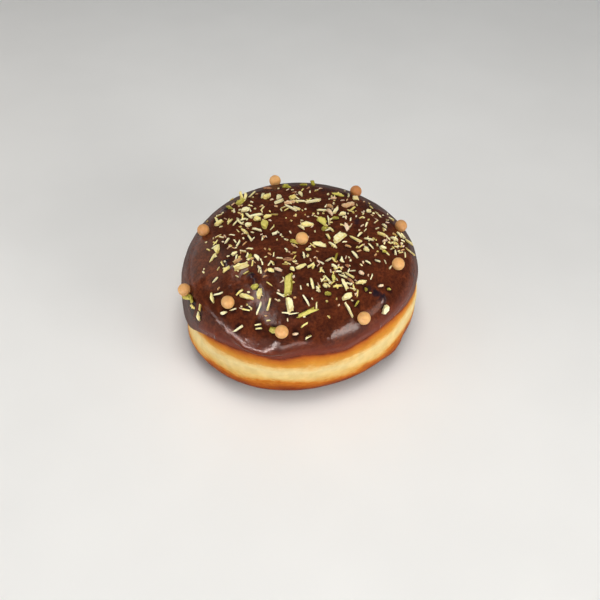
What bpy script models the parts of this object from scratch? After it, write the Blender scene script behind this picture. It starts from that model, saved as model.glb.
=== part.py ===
"""Berliner doughnut: an uneven fried bun, its cap of chocolate icing and ten caramel pearls.

Metres, +Z up. The origin lies under the middle of the bun's outline, on the surface that it rests on.
An azimuth is turned from +X about +Z, in degrees, and the front of the bun faces -Y.
A climb says how far up the bun a point lies: -1 under its centre, 0 at its waist and 1 at its top.
"""

from math import cos, exp, pi, radians, sin, sqrt

import bmesh
import bpy
from mathutils import Matrix, Vector

MM = 0.001

# The bun with its icing on
WAIST_RADIUS = 44.8 * MM
WAIST_HEIGHT = 17.7 * MM
FULL_HEIGHT = 44.8 * MM
SQUARENESS = 3.7
# How far the round foot would reach below the flat that it rests on, as a share of the waist's height
FOOT_SQUASH = 0.015

# Waves round the bun: how many crests, how large, and the azimuth of a crest
OUTLINE_WAVES = ((2, 0.030, 34.0), (3, 0.0145, -8.5))
WAIST_WAVES = ((1, 0.7 * MM, -174.5), (2, 1.0 * MM, -58.0))
SHOULDER_WAVES = ((1, 0.8 * MM, -54.5),)

# The cap of icing, and the crust that stands out below it
ICING_THICKNESS = 1.3 * MM
FITTING_GAP = 0.3 * MM
LIP_CLIMB = 0.03
CRUST_SHELF = 7.0 * MM
ICING_EDGE_HEIGHT = 27.8 * MM
# Where the edge of the icing runs down or draws up: azimuth, half width in degrees, and rise
ICING_EDGE_BAYS = (
    (-160.0, 20.0, -12.0 * MM),
    (-99.0, 7.0, -1.2 * MM),
    (-88.0, 5.0, 0.8 * MM),
    (-67.5, 8.0, -1.6 * MM),
    (-38.0, 18.0, 1.7 * MM),
    (18.0, 18.0, -3.0 * MM),
    (62.0, 12.0, 1.2 * MM),
    (98.0, 12.0, -5.0 * MM),
    (140.0, 14.0, 1.0 * MM),
)

# The pearls: azimuth and distance from the bun's axis
PEARL_RADIUS = 2.3 * MM
PEARL_SINK = 0.8 * MM
PEARL_PLACES = (
    (-98.0, 40.5 * MM),
    (-56.5, 39.5 * MM),
    (-17.5, 36.5 * MM),
    (16.0, 39.0 * MM),
    (54.0, 36.5 * MM),
    (105.5, 38.0 * MM),
    (171.0, 36.0 * MM),
    (-155.5, 44.0 * MM),
    (-128.5, 38.5 * MM),
    (-76.0, 3.0 * MM),
)

# How finely the solids are divided
AZIMUTH_STEPS = 64
FOOT_STEPS = 13
CAP_STEPS = 11
LIP_STEPS = 3
TOP_CLIMB = 0.965
HALVINGS = 40
PEARL_SEGMENTS = 12
PEARL_RINGS = 8
SMALL_CLIMB = 0.002
SMALL_AZIMUTH = 0.2

# Colour, roughness
CRUST_LOOK = ((0.56, 0.25, 0.06), 0.6)
ICING_LOOK = ((0.085, 0.028, 0.014), 0.25)
PEARL_LOOK = ((0.73, 0.38, 0.17), 0.55)


def clear_scene():
    for thing in list(bpy.data.objects):
        bpy.data.objects.remove(thing, do_unlink=True)


def waves(table, azimuth):
    """The sum of a table of waves at an azimuth."""
    return sum(size * cos(crests * radians(azimuth - crest)) for crests, size, crest in table)


def mix(low, high, share):
    return low + (high - low) * share


def smooth_step(share):
    share = min(1.0, max(0.0, share))
    return share * share * (3.0 - 2.0 * share)


def profile(climb):
    """The shares of the radius and of the height that a squared-off quarter circle has at a climb."""
    across = cos(climb * pi / 2.0)
    along = sin(climb * pi / 2.0)
    size = (across**SQUARENESS + along**SQUARENESS) ** (1.0 / SQUARENESS)
    return across / size, along / size


def centred_point(azimuth, climb):
    """A point of the bun with its icing on, about the bun's own axis."""
    waist = WAIST_HEIGHT + waves(WAIST_WAVES, azimuth)
    if climb >= 0.0:
        across, up = profile(climb)
        height = mix(waist, FULL_HEIGHT, up) + up * across * waves(SHOULDER_WAVES, azimuth)
    else:
        across, down = profile(-climb)
        height = waist * (1.0 - down * (1.0 + FOOT_SQUASH))
    radius = WAIST_RADIUS * (1.0 + waves(OUTLINE_WAVES, azimuth)) * across
    return Vector((radius * cos(radians(azimuth)), radius * sin(radians(azimuth)), height))


def outline_middle():
    """The middle of the waist's outline, as seen from above."""
    waist = [centred_point(azimuth, 0.0) for azimuth in AZIMUTHS]
    middle = [(min(p[axis] for p in waist) + max(p[axis] for p in waist)) / 2.0 for axis in (0, 1)]
    return Vector((middle[0], middle[1], 0.0))


def outer_point(azimuth, climb):
    return centred_point(azimuth, climb) - OUTLINE_MIDDLE


def outward(azimuth, climb):
    """The direction that the bun's surface faces."""
    along = outer_point(azimuth + SMALL_AZIMUTH, climb) - outer_point(azimuth - SMALL_AZIMUTH, climb)
    upward = outer_point(azimuth, climb + SMALL_CLIMB) - outer_point(azimuth, climb - SMALL_CLIMB)
    return along.cross(upward).normalized()


def climb_where(azimuth, is_below, low, high):
    """The climb at which is_below(point) turns false, by halving."""
    for _ in range(HALVINGS):
        middle = (low + high) / 2.0
        if is_below(centred_point(azimuth, middle)):
            low = middle
        else:
            high = middle
    return (low + high) / 2.0


def icing_edge_height(azimuth):
    height = ICING_EDGE_HEIGHT
    for bay, half_width, rise in ICING_EDGE_BAYS:
        away = (azimuth - bay + 180.0) % 360.0 - 180.0
        height += rise * exp(-((away / half_width) ** 2))
    return height


def icing_edge_climb(azimuth):
    edge = icing_edge_height(azimuth)
    return climb_where(azimuth, lambda point: point.z < edge, -TOP_CLIMB, TOP_CLIMB)


def recess(azimuth, climb):
    """How far the crust lies inside the full bun: the icing and its gap, fading out below the icing."""
    below_edge = icing_edge_height(azimuth) - outer_point(azimuth, climb).z
    return (ICING_THICKNESS + FITTING_GAP) * smooth_step(1.0 - below_edge / CRUST_SHELF)


def crust_point(azimuth, climb):
    return outer_point(azimuth, climb) - outward(azimuth, climb) * recess(azimuth, climb)


def icing_bed_point(azimuth, climb):
    return crust_point(azimuth, climb) + outward(azimuth, climb) * FITTING_GAP


def add_ring(mesh, point_at, climb_at):
    return [mesh.verts.new(point_at(azimuth, climb_at(azimuth))) for azimuth in AZIMUTHS]


def add_skin(mesh, rings):
    """Quads from each ring of vertices to the next."""
    for lower, upper in zip(rings, rings[1:]):
        for i in range(AZIMUTH_STEPS):
            j = (i + 1) % AZIMUTH_STEPS
            mesh.faces.new((lower[i], lower[j], upper[j], upper[i]))


def close_top(mesh, ring):
    """A fan of triangles from a ring to a point in its middle."""
    middle = mesh.verts.new(sum((vertex.co for vertex in ring), Vector()) / len(ring))
    for i in range(AZIMUTH_STEPS):
        mesh.faces.new((ring[i], ring[(i + 1) % AZIMUTH_STEPS], middle))


def cap_climb(share):
    """The climb at a share of the way from the icing's edge to the top, as a function of azimuth."""
    return lambda azimuth: mix(EDGE_CLIMBS[azimuth], TOP_CLIMB, share)


def foot_climb(share):
    return lambda azimuth: mix(BASE_CLIMB, EDGE_CLIMBS[azimuth], share)


def new_material(name, look):
    colour, roughness = look
    material = bpy.data.materials.new(name)
    material.use_nodes = True
    shader = material.node_tree.nodes["Principled BSDF"]
    shader.inputs["Base Color"].default_value = (*colour, 1.0)
    shader.inputs["Roughness"].default_value = roughness
    shader.inputs["Metallic"].default_value = 0.0
    return material


def finish_object(name, mesh, material):
    """Make an object of a bmesh, shaded smooth, with its faces pointing out."""
    bmesh.ops.recalc_face_normals(mesh, faces=mesh.faces)
    data = bpy.data.meshes.new(name)
    mesh.to_mesh(data)
    mesh.free()
    data.shade_smooth()
    data.materials.append(material)
    thing = bpy.data.objects.new(name, data)
    bpy.context.scene.collection.objects.link(thing)
    return thing


def make_dough():
    mesh = bmesh.new()
    foot = [add_ring(mesh, crust_point, foot_climb(step / FOOT_STEPS)) for step in range(FOOT_STEPS)]
    cap = [add_ring(mesh, crust_point, cap_climb(step / CAP_STEPS)) for step in range(CAP_STEPS + 1)]
    mesh.faces.new(foot[0])
    add_skin(mesh, foot + cap)
    close_top(mesh, cap[-1])
    return finish_object("dough", mesh, new_material("fried_dough", CRUST_LOOK))


def lip_point(step):
    """The icing's surface a few steps in from its edge, where it thickens in a quarter round."""
    share = step / LIP_STEPS
    thickness = ICING_THICKNESS * sqrt(1.0 - (1.0 - share) ** 2)

    def point_at(azimuth, climb):
        return icing_bed_point(azimuth, climb) + outward(azimuth, climb) * thickness

    return point_at


def lip_climb(step):
    share = (step / LIP_STEPS) ** 2
    return lambda azimuth: EDGE_CLIMBS[azimuth] + LIP_CLIMB * share


def make_icing():
    mesh = bmesh.new()
    bed = [add_ring(mesh, icing_bed_point, cap_climb(step / CAP_STEPS)) for step in range(CAP_STEPS + 1)]
    lip = [add_ring(mesh, lip_point(step), lip_climb(step)) for step in range(1, LIP_STEPS + 1)]
    cap = [add_ring(mesh, outer_point, cap_climb(step / CAP_STEPS)) for step in range(1, CAP_STEPS + 1)]
    add_skin(mesh, bed)
    add_skin(mesh, [bed[0], *lip, *cap])
    close_top(mesh, bed[-1])
    close_top(mesh, cap[-1])
    return finish_object("chocolate_icing", mesh, new_material("chocolate_icing", ICING_LOOK))


def pearl_centre(azimuth, distance):
    """Where a pearl's centre lies when it is sunk a little into the icing."""
    climb = climb_where(azimuth, lambda point: point.xy.length > distance, 0.0, TOP_CLIMB)
    return outer_point(azimuth, climb) + outward(azimuth, climb) * (PEARL_RADIUS - PEARL_SINK)


def add_ball(mesh, centre, radius):
    bmesh.ops.create_uvsphere(
        mesh,
        u_segments=PEARL_SEGMENTS,
        v_segments=PEARL_RINGS,
        radius=radius,
        matrix=Matrix.Translation(centre),
    )


def make_pearls(centres):
    material = new_material("caramel_pearl", PEARL_LOOK)
    for number, centre in enumerate(centres, start=1):
        mesh = bmesh.new()
        add_ball(mesh, Vector(), PEARL_RADIUS)
        pearl = finish_object(f"caramel_pearl_{number}", mesh, material)
        pearl.location = centre


def cut_pearl_sockets(icing, centres):
    """Cut the hollow that each pearl sits in, a gap wider than the pearl."""
    mesh = bmesh.new()
    for centre in centres:
        add_ball(mesh, centre, PEARL_RADIUS + FITTING_GAP)
    cutter = finish_object("pearl_sockets", mesh, new_material("cutter", ICING_LOOK))
    cutter.hide_render = True
    cutter.display_type = "WIRE"
    cut = icing.modifiers.new("pearl sockets", "BOOLEAN")
    cut.operation = "DIFFERENCE"
    cut.solver = "EXACT"
    cut.object = cutter


AZIMUTHS = [360.0 * step / AZIMUTH_STEPS for step in range(AZIMUTH_STEPS)]
OUTLINE_MIDDLE = outline_middle()
EDGE_CLIMBS = {azimuth: icing_edge_climb(azimuth) for azimuth in AZIMUTHS}
BASE_CLIMB = climb_where(0.0, lambda point: point.z < 0.0, -TOP_CLIMB, 0.0)

clear_scene()
pearl_centres = [pearl_centre(azimuth, distance) for azimuth, distance in PEARL_PLACES]
make_dough()
cut_pearl_sockets(make_icing(), pearl_centres)
make_pearls(pearl_centres)
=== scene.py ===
"""Looks of a berliner doughnut with chocolate icing, ten caramel pearls and chopped pistachios.

Metres, +Z up. The origin is under the middle of the bun's outline, on the surface it rests on.
Azimuth is in degrees from +X about +Z, so the front is at -90. Climb goes from -1 under the bun's
middle, over 0 at its waist, to 1 at its top. Turn is how a piece lies, in degrees from +X about +Z.
"""
from bisect import bisect_right
from math import atan2, cos, degrees, exp, hypot, pi, radians, sin
from random import Random

import bpy
from mathutils import Matrix, Vector, noise
from mathutils.bvhtree import BVHTree
from mathutils.kdtree import KDTree


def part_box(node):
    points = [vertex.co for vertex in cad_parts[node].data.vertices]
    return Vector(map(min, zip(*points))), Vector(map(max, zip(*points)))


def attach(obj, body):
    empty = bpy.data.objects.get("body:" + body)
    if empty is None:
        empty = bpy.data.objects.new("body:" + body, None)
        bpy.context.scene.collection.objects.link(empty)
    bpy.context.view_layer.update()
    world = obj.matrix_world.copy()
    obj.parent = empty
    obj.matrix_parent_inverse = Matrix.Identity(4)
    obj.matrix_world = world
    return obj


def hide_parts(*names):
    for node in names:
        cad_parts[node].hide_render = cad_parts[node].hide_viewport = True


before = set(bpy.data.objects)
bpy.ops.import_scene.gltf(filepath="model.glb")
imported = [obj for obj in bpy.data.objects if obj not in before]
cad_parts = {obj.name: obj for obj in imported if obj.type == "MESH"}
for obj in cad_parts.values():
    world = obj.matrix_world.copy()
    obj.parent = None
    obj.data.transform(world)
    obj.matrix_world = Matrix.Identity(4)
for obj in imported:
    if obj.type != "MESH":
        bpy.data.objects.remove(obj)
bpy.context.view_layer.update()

MM = 0.001
UP = Vector((0.0, 0.0, 1.0))


def in_metres(*rows, angles=0):
    """A table's rows, in metres. A row starts with its angles, and goes on in millimetres."""
    return [row[:angles] + tuple(value * MM for value in row[angles:]) for row in rows]


# The bun with its icing on, as the part has it
BUN_AXIS = Vector((-0.525 * MM, -0.169 * MM, 0.0))
WAIST_RADIUS = 44.8 * MM
WAIST_HEIGHT = 17.7 * MM
FULL_HEIGHT = 44.8 * MM
SQUARENESS = 3.7
FOOT_SQUASH = 0.015
# Crests round the bun, size, azimuth of a crest
OUTLINE_WAVES = ((2, 0.030, 34.0), (3, 0.0145, -8.5))
WAIST_WAVES = ((1, 0.7 * MM, -174.5), (2, 1.0 * MM, -58.0))
SHOULDER_WAVES = ((1, 0.8 * MM, -54.5),)

# The icing's edge: azimuth, half width in degrees, rise above the usual height
ICING_EDGE_HEIGHT = 27.8 * MM
ICING_EDGE_BAYS = in_metres(
    (-161, 20, -12.6), (174, 18, -9), (-99, 7, -1.2), (-88, 5, 0.8),
    (-67.5, 8, -1.2), (-38, 18, 1.7), (18, 18, -3), (62, 12, 1.2),
    (98, 12, -5), (140, 14, 1),
    angles=2,
)

# Over what height the icing thins out, rounds in, turns amber and turns warmer above its edge
ICING_FEATHER = 3.6 * MM
ICING_LIP = 0.55 * MM
ICING_THIN = 0.8 * MM
ICING_WARM = 8.5 * MM
# How deep the layers lie under the full bun's surface
ICING_EDGE_DROP = 0.5 * MM
ICING_BED = 2.3 * MM
CRUST_DROP_AT_EDGE = 0.85 * MM
CRUST_DROP_UNDER_ICING = 1.7 * MM
CRUST_SHELF = 7.0 * MM
CRUST_TUCK = 1.5 * MM

# How finely the turned pieces are divided
ICING_STEPS = 480
ICING_RINGS = 120
ICING_RING_CROWDING = 1.5
ICING_LIP_RINGS = 4
ICING_BED_RINGS = 14
CRUST_STEPS = 320
CRUST_FOOT_RINGS = 46
CRUST_SIDE_RINGS = 44
CRUST_TOP_RINGS = 10
CRUST_SIDE_CLIMB = 0.62
# The blank's inner layer, as a share of the outer one
BLANK_BED = 0.9
# Directions are measured between two near points, and not quite at the poles
POLE_CLIMB = 0.975
SMALL_CLIMB = 0.002
SMALL_AZIMUTH = 0.2
HALVINGS = 30
WELD = 0.002 * MM

# Cloudy unevenness of the pieces' surfaces: feature size and height, and where the pattern starts
ICING_CLOUDS = ((9.0 * MM, 0.30 * MM, 3), (3.5 * MM, 0.09 * MM, 11))
CRUST_CLOUDS = ((11.0 * MM, 0.35 * MM, 5), (2.6 * MM, 0.07 * MM, 17))
PEARL_CLOUDS = ((2.4 * MM, 0.16 * MM, 2), (0.6 * MM, 0.05 * MM, 7))

# Heights of the pale belt's lower and upper border, by azimuth
BELT_FOOT = in_metres(
    (-170, 12.6), (-141, 13), (-119, 14.2), (-98, 14.8), (-79, 13.9),
    (-64, 13.6), (-46, 14.4), (-30, 16.2), (-12, 16), (30, 14.6),
    (75, 13.8), (110, 14.9), (150, 13.6),
    angles=1,
)
BELT_TOP = in_metres(
    (-170, 20.5), (-141, 22.6), (-116, 23.2), (-98, 22.4), (-80, 22.2),
    (-64.5, 22.3), (-47, 24.3), (-25, 25.5), (0, 24), (40, 21.8),
    (80, 22.9), (120, 21.4), (155, 22.4),
    angles=1,
)
BELTS = 3.0
LEAST_TOP_BELT = 3.0 * MM


def waves(table, azimuth):
    """The sum of a table of waves at an azimuth."""
    return sum(size * cos(crests * radians(azimuth - crest)) for crests, size, crest in table)


def mix(low, high, share):
    return low + (high - low) * share


def smooth_step(share):
    share = min(1.0, max(0.0, share))
    return share * share * (3.0 - 2.0 * share)


def hump(distance, half_width):
    """A smooth hump that is 1 in its middle."""
    return exp(-((distance / half_width) ** 2))


def turn_between(azimuth, other):
    """The angle from one azimuth to another, from -180 to 180."""
    return (azimuth - other + 180.0) % 360.0 - 180.0


def round_table(table, azimuth, column=1):
    """The value in a table's column at an azimuth, smooth all the way round."""
    azimuth = (azimuth + 180.0) % 360.0 - 180.0
    places = [row[0] for row in table]
    after = bisect_right(places, azimuth) % len(table)
    before = after - 1
    span = (places[after] - places[before]) % 360.0
    share = ((azimuth - places[before]) % 360.0) / span
    return mix(table[before][column], table[after][column], smooth_step(share))


def profile(climb):
    """The shares of the radius and of the height that a squared-off quarter circle has at a climb."""
    across = cos(climb * pi / 2.0)
    along = sin(climb * pi / 2.0)
    size = (across**SQUARENESS + along**SQUARENESS) ** (1.0 / SQUARENESS)
    return across / size, along / size


def outer_point(azimuth, climb):
    """A point of the bun's surface with its icing on."""
    waist = WAIST_HEIGHT + waves(WAIST_WAVES, azimuth)
    if climb >= 0.0:
        across, up = profile(climb)
        height = mix(waist, FULL_HEIGHT, up) + up * across * waves(SHOULDER_WAVES, azimuth)
    else:
        across, down = profile(-climb)
        height = waist * (1.0 - down * (1.0 + FOOT_SQUASH))
    radius = WAIST_RADIUS * (1.0 + waves(OUTLINE_WAVES, azimuth)) * across
    angle = radians(azimuth)
    return BUN_AXIS + Vector((radius * cos(angle), radius * sin(angle), height))


def outward(azimuth, climb):
    """The direction that the bun's surface faces."""
    climb = max(-POLE_CLIMB, min(POLE_CLIMB, climb))
    along = outer_point(azimuth + SMALL_AZIMUTH, climb) - outer_point(azimuth - SMALL_AZIMUTH, climb)
    upward = outer_point(azimuth, climb + SMALL_CLIMB) - outer_point(azimuth, climb - SMALL_CLIMB)
    return along.cross(upward).normalized()


def azimuth_of(point):
    return degrees(atan2(point.y - BUN_AXIS.y, point.x - BUN_AXIS.x))


def icing_edge_height(azimuth):
    height = ICING_EDGE_HEIGHT
    for bay, half_width, rise in ICING_EDGE_BAYS:
        height += rise * hump(turn_between(azimuth, bay), half_width)
    return height


def icing_edge_climb(azimuth):
    """The climb at which the icing ends, by halving."""
    edge = icing_edge_height(azimuth)
    low = -POLE_CLIMB
    high = POLE_CLIMB
    for _ in range(HALVINGS):
        middle = (low + high) / 2.0
        if outer_point(azimuth, middle).z < edge:
            low = middle
        else:
            high = middle
    return (low + high) / 2.0


def icing_edge_share(point, azimuth, reach):
    """1 where the icing ends, falling to 0 at a reach above it."""
    return 1.0 - smooth_step((point.z - icing_edge_height(azimuth)) / reach)


# Working by hand: selecting, turning on the lathe, finishing


def deselect_everything():
    if bpy.context.mode != "OBJECT":
        bpy.ops.object.mode_set(mode="OBJECT")
    bpy.ops.object.select_all(action="DESELECT")


def select_only(piece):
    deselect_everything()
    piece.select_set(True)
    bpy.context.view_layer.objects.active = piece


def named(name):
    """The newest primitive, under its own name."""
    piece = bpy.context.object
    piece.name = name
    piece.data.name = name
    return piece


def copy_of(pattern, name, placement):
    """A copy with its own mesh, moved to its place."""
    copy = bpy.data.objects.new(name, pattern.data.copy())
    copy.data.name = copy.name
    copy.data.transform(placement)
    bpy.context.scene.collection.objects.link(copy)
    return copy


def roughen(piece, layers):
    """The surface is moved in and out by cloudy patterns, each with its size, height and start."""
    for feature_size, height, start in layers:
        pattern = bpy.data.textures.new(f"{piece.name}_clouds_{start}", "CLOUDS")
        pattern.noise_scale = 1.0
        away = bpy.data.objects.new(f"{piece.name}_pattern_place", None)
        away.scale = [feature_size] * 3
        away.location = [feature_size * start] * 3
        bpy.context.scene.collection.objects.link(away)
        bpy.context.view_layer.update()
        select_only(piece)
        modifier = piece.modifiers.new("Displace", "DISPLACE")
        modifier.texture = pattern
        modifier.strength = height
        modifier.mid_level = 0.5
        modifier.texture_coords = "OBJECT"
        modifier.texture_coords_object = away
        bpy.ops.object.modifier_apply(modifier=modifier.name)
        bpy.data.objects.remove(away)
        bpy.data.textures.remove(pattern)


def turned(name, outline, steps):
    """A piece turned on the bun's axis: its outline is drawn point by point and spun once round.

    The outline's points are given as distance from the axis and height.
    """
    deselect_everything()
    radius, height = outline[0]
    bpy.ops.mesh.primitive_plane_add(size=WELD, location=BUN_AXIS + Vector((radius, 0.0, height)))
    piece = named(name)
    bpy.ops.object.mode_set(mode="EDIT")
    bpy.ops.mesh.select_all(action="SELECT")
    bpy.ops.mesh.merge(type="CENTER")
    for here, there in zip(outline, outline[1:]):
        step = (there[0] - here[0], 0.0, there[1] - here[1])
        bpy.ops.mesh.extrude_vertices_move(TRANSFORM_OT_translate={"value": step})
    bpy.ops.mesh.select_all(action="SELECT")
    bpy.ops.mesh.spin(steps=steps, angle=2.0 * pi, center=BUN_AXIS, axis=UP)
    bpy.ops.mesh.select_all(action="SELECT")
    bpy.ops.mesh.remove_doubles(threshold=WELD)
    bpy.ops.mesh.normals_make_consistent(inside=False)
    select_only(piece)
    bpy.ops.object.transform_apply(location=True, rotation=True, scale=True)
    return piece


def blank_point(climb, size=1.0):
    """A point of the round blank's outline. A layer inside the blank has a smaller size."""
    if climb >= 0.0:
        across, up = profile(climb)
        return WAIST_RADIUS * across * size, WAIST_HEIGHT + (FULL_HEIGHT - WAIST_HEIGHT) * up * size
    across, down = profile(-climb)
    return WAIST_RADIUS * across * size, WAIST_HEIGHT - WAIST_HEIGHT * down * size


def place_on_blank(point):
    """The azimuth, climb and size of a point of the blank."""
    from_axis = point - BUN_AXIS
    across = hypot(from_axis.x, from_axis.y) / WAIST_RADIUS
    above = from_axis.z - WAIST_HEIGHT
    along = above / (FULL_HEIGHT - WAIST_HEIGHT if above > 0.0 else WAIST_HEIGHT)
    azimuth = degrees(atan2(from_axis.y, from_axis.x))
    climb = atan2(along, across) / (pi / 2.0)
    size = (across**SQUARENESS + abs(along) ** SQUARENESS) ** (1.0 / SQUARENESS)
    return azimuth, climb, size


def shape_by_hand(piece, settle):
    """Every point of the blank goes where the uneven bun has it."""
    for vertex in piece.data.vertices:
        vertex.co = settle(*place_on_blank(vertex.co))
    piece.data.update()


def number_per_point(piece, name, value_at):
    """A number for every point of the piece's mesh, which its material reads."""
    attribute = piece.data.attributes.new(name, "FLOAT", "POINT")
    attribute.data.foreach_set("value", [value_at(vertex.co) for vertex in piece.data.vertices])


def number_per_face(piece, name, value_on):
    """A number for every face of the piece's mesh, which its material reads."""
    attribute = piece.data.attributes.new(name, "FLOAT", "FACE")
    attribute.data.foreach_set("value", [value_on(face) for face in piece.data.polygons])


def hand_over(piece, replaced):
    """The finished piece rides on the part's body and stands for its solid."""
    select_only(piece)
    bpy.ops.object.shade_smooth()
    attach(piece, "root")
    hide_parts(*replaced)


# Materials


def paint(red, green, blue):
    """A colour as a screen shows it, from 0 to 255, as light."""

    def light(value):
        share = value / 255.0
        return share / 12.92 if share <= 0.04045 else ((share + 0.055) / 1.055) ** 2.4

    return light(red), light(green), light(blue), 1.0


def painted(*stops):
    """The stops of a ramp, each given as its place from 0 to 1, red, green and blue."""
    return [(place, paint(*colour)) for place, *colour in stops]


class Finish:
    """A material that is built node by node on a Principled shader."""

    # A mix of colours has its sockets by number: the share, and the first and second colour
    MIX_INPUTS = (0, 6, 7)
    MIX_OUTPUT = 2

    def __init__(self, name, **settings):
        self.material = bpy.data.materials.new(name)
        self.material.use_nodes = True
        self.nodes = self.material.node_tree.nodes
        self.links = self.material.node_tree.links
        self.shader = self.nodes["Principled BSDF"]
        self.place = self.nodes.new("ShaderNodeTexCoord").outputs["Object"]
        self.set_on_shader(**settings)

    def set_on_shader(self, **settings):
        for name, value in settings.items():
            self.shader.inputs[name.replace("_", " ")].default_value = value

    def glow_inside(self, reach, radius):
        """A little light goes in and comes out again, each colour by its own share of the reach."""
        self.set_on_shader(Subsurface_Weight=0.15, Subsurface_Radius=radius, Subsurface_Scale=reach)

    def feed(self, socket, value):
        """A number, a colour or another node's output goes into a socket."""
        if isinstance(value, bpy.types.NodeSocket):
            self.links.new(value, socket)
        else:
            socket.default_value = value

    def node(self, kind, **inputs):
        """A new node of a kind, with its inputs fed by name."""
        node = self.nodes.new(kind)
        for name, value in inputs.items():
            self.feed(node.inputs[name.replace("_", " ")], value)
        return node

    def number(self, name):
        """One of the mesh's own numbers."""
        node = self.node("ShaderNodeAttribute")
        node.attribute_name = name
        return node.outputs["Fac"]

    def turned_away(self):
        """0 where the surface faces the eye, rising to 1 where it is seen edge-on."""
        return self.node("ShaderNodeLayerWeight").outputs["Facing"]

    def stretched(self, along):
        """The place, with each axis multiplied by a number."""
        return self.node("ShaderNodeMapping", Scale=along, Vector=self.place).outputs["Vector"]

    def cloud(self, feature_size, detail=3.0, roughness=0.55, place=None, distortion=0.0):
        node = self.node(
            "ShaderNodeTexNoise",
            Scale=1.0 / feature_size,
            Detail=detail,
            Roughness=roughness,
            Distortion=distortion,
            Vector=place or self.place,
        )
        return node.outputs["Fac"]

    def cells(self, feature_size):
        """How far a place is from the nearest of many scattered points, in cells."""
        node = self.node("ShaderNodeTexVoronoi", Scale=1.0 / feature_size, Vector=self.place)
        return node.outputs["Distance"]

    def spread(self, value, seen, to=(0.0, 1.0)):
        """The range of a value that is seen becomes another range, and the ends hold beyond it."""
        ranges = {"From_Min": seen[0], "From_Max": seen[1], "To_Min": to[0], "To_Max": to[1]}
        return self.node("ShaderNodeMapRange", Value=value, **ranges).outputs["Result"]

    def calculate(self, operation, first, second):
        node = self.node("ShaderNodeMath")
        node.operation = operation
        self.feed(node.inputs[0], first)
        self.feed(node.inputs[1], second)
        return node.outputs[0]

    def sum(self, first, second):
        return self.calculate("ADD", first, second)

    def product(self, first, second):
        return self.calculate("MULTIPLY", first, second)

    def ramp(self, value, stops, easing="EASE"):
        """Colours along a value: each stop is a place from 0 to 1 and a colour."""
        node = self.node("ShaderNodeValToRGB", Fac=value)
        node.color_ramp.interpolation = easing
        elements = node.color_ramp.elements
        while len(elements) < len(stops):
            elements.new(0.5)
        for element, (place, colour) in zip(elements, stops):
            element.position = place
            element.color = colour
        return node.outputs["Color"]

    def blend(self, share, first, second, kind="MIX"):
        node = self.node("ShaderNodeMix")
        node.data_type = "RGBA"
        node.blend_type = kind
        for index, value in zip(self.MIX_INPUTS, (share, first, second)):
            self.feed(node.inputs[index], value)
        return node.outputs[self.MIX_OUTPUT]

    def relief(self, *layers):
        """Fine relief: each layer is a pattern and its height in metres."""
        beneath = {}
        for pattern, height in layers:
            node = self.node("ShaderNodeBump", Distance=height, Height=pattern, **beneath)
            beneath = {"Normal": node.outputs["Normal"]}
        self.feed(self.shader.inputs["Normal"], beneath["Normal"])

    def colour(self, value):
        self.feed(self.shader.inputs["Base Color"], value)

    def roughness(self, value):
        self.feed(self.shader.inputs["Roughness"], value)


def fried_crust():
    """Pale belt round the waist, orange-gold above it, golden to dark brown below it."""
    finish = Finish("fried_crust", IOR=1.42, Specular_IOR_Level=0.08)
    finish.glow_inside(1.2 * MM, (1.0, 0.45, 0.2))
    flat_place = finish.stretched((1.0, 1.0, 2.6))
    wander = finish.spread(finish.cloud(9.0 * MM, 2.0, place=flat_place), (0.2, 0.8), (-0.045, 0.045))
    fuzz = finish.spread(finish.cloud(1.6 * MM, 3.0, place=flat_place), (0.2, 0.8), (-0.024, 0.024))
    belt = finish.number("belt")
    baked_stops = painted(
        (0.0, 78, 30, 12),
        (0.12, 98, 38, 12),
        (0.20, 128, 50, 6),
        (0.27, 172, 84, 10),
        (0.32, 202, 122, 34),
        (0.37, 222, 174, 92),
        (0.44, 230, 202, 136),
        (0.58, 234, 212, 154),
        (0.645, 230, 194, 126),
        (0.69, 216, 156, 72),
        (0.75, 210, 142, 50),
        (0.87, 192, 110, 34),
        (0.92, 172, 88, 32),
        (0.96, 142, 64, 29),
        (1.0, 104, 46, 26),
    )
    baked = finish.ramp(finish.sum(finish.sum(belt, wander), fuzz), baked_stops, "LINEAR")
    mottle_stops = ((0.3, (0.84, 0.81, 0.70, 1.0)), (0.7, (1.07, 1.06, 1.02, 1.0)))
    mottle = finish.ramp(finish.cloud(3.2 * MM, 4.0, 0.6), mottle_stops)
    mottled = finish.blend(0.55, baked, mottle, "MULTIPLY")
    freckles = finish.spread(finish.cells(1.5 * MM), (0.06, 0.22), (1.0, 0.0))
    below_belt = finish.spread(belt, (0.36, 0.24), (0.0, 0.5))
    finish.colour(finish.blend(finish.product(freckles, below_belt), mottled, paint(126, 58, 22)))
    finish.roughness(finish.spread(finish.cloud(2.4 * MM), (0.25, 0.75), (0.5, 0.68)))
    creases = finish.cloud(3.5 * MM, 3.0, 0.6, place=finish.stretched((0.5, 0.5, 3.0)))
    pores = finish.cloud(0.7 * MM, 4.0, 0.65)
    finish.relief((creases, 0.16 * MM), (pores, 0.07 * MM))
    return finish.material


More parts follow.
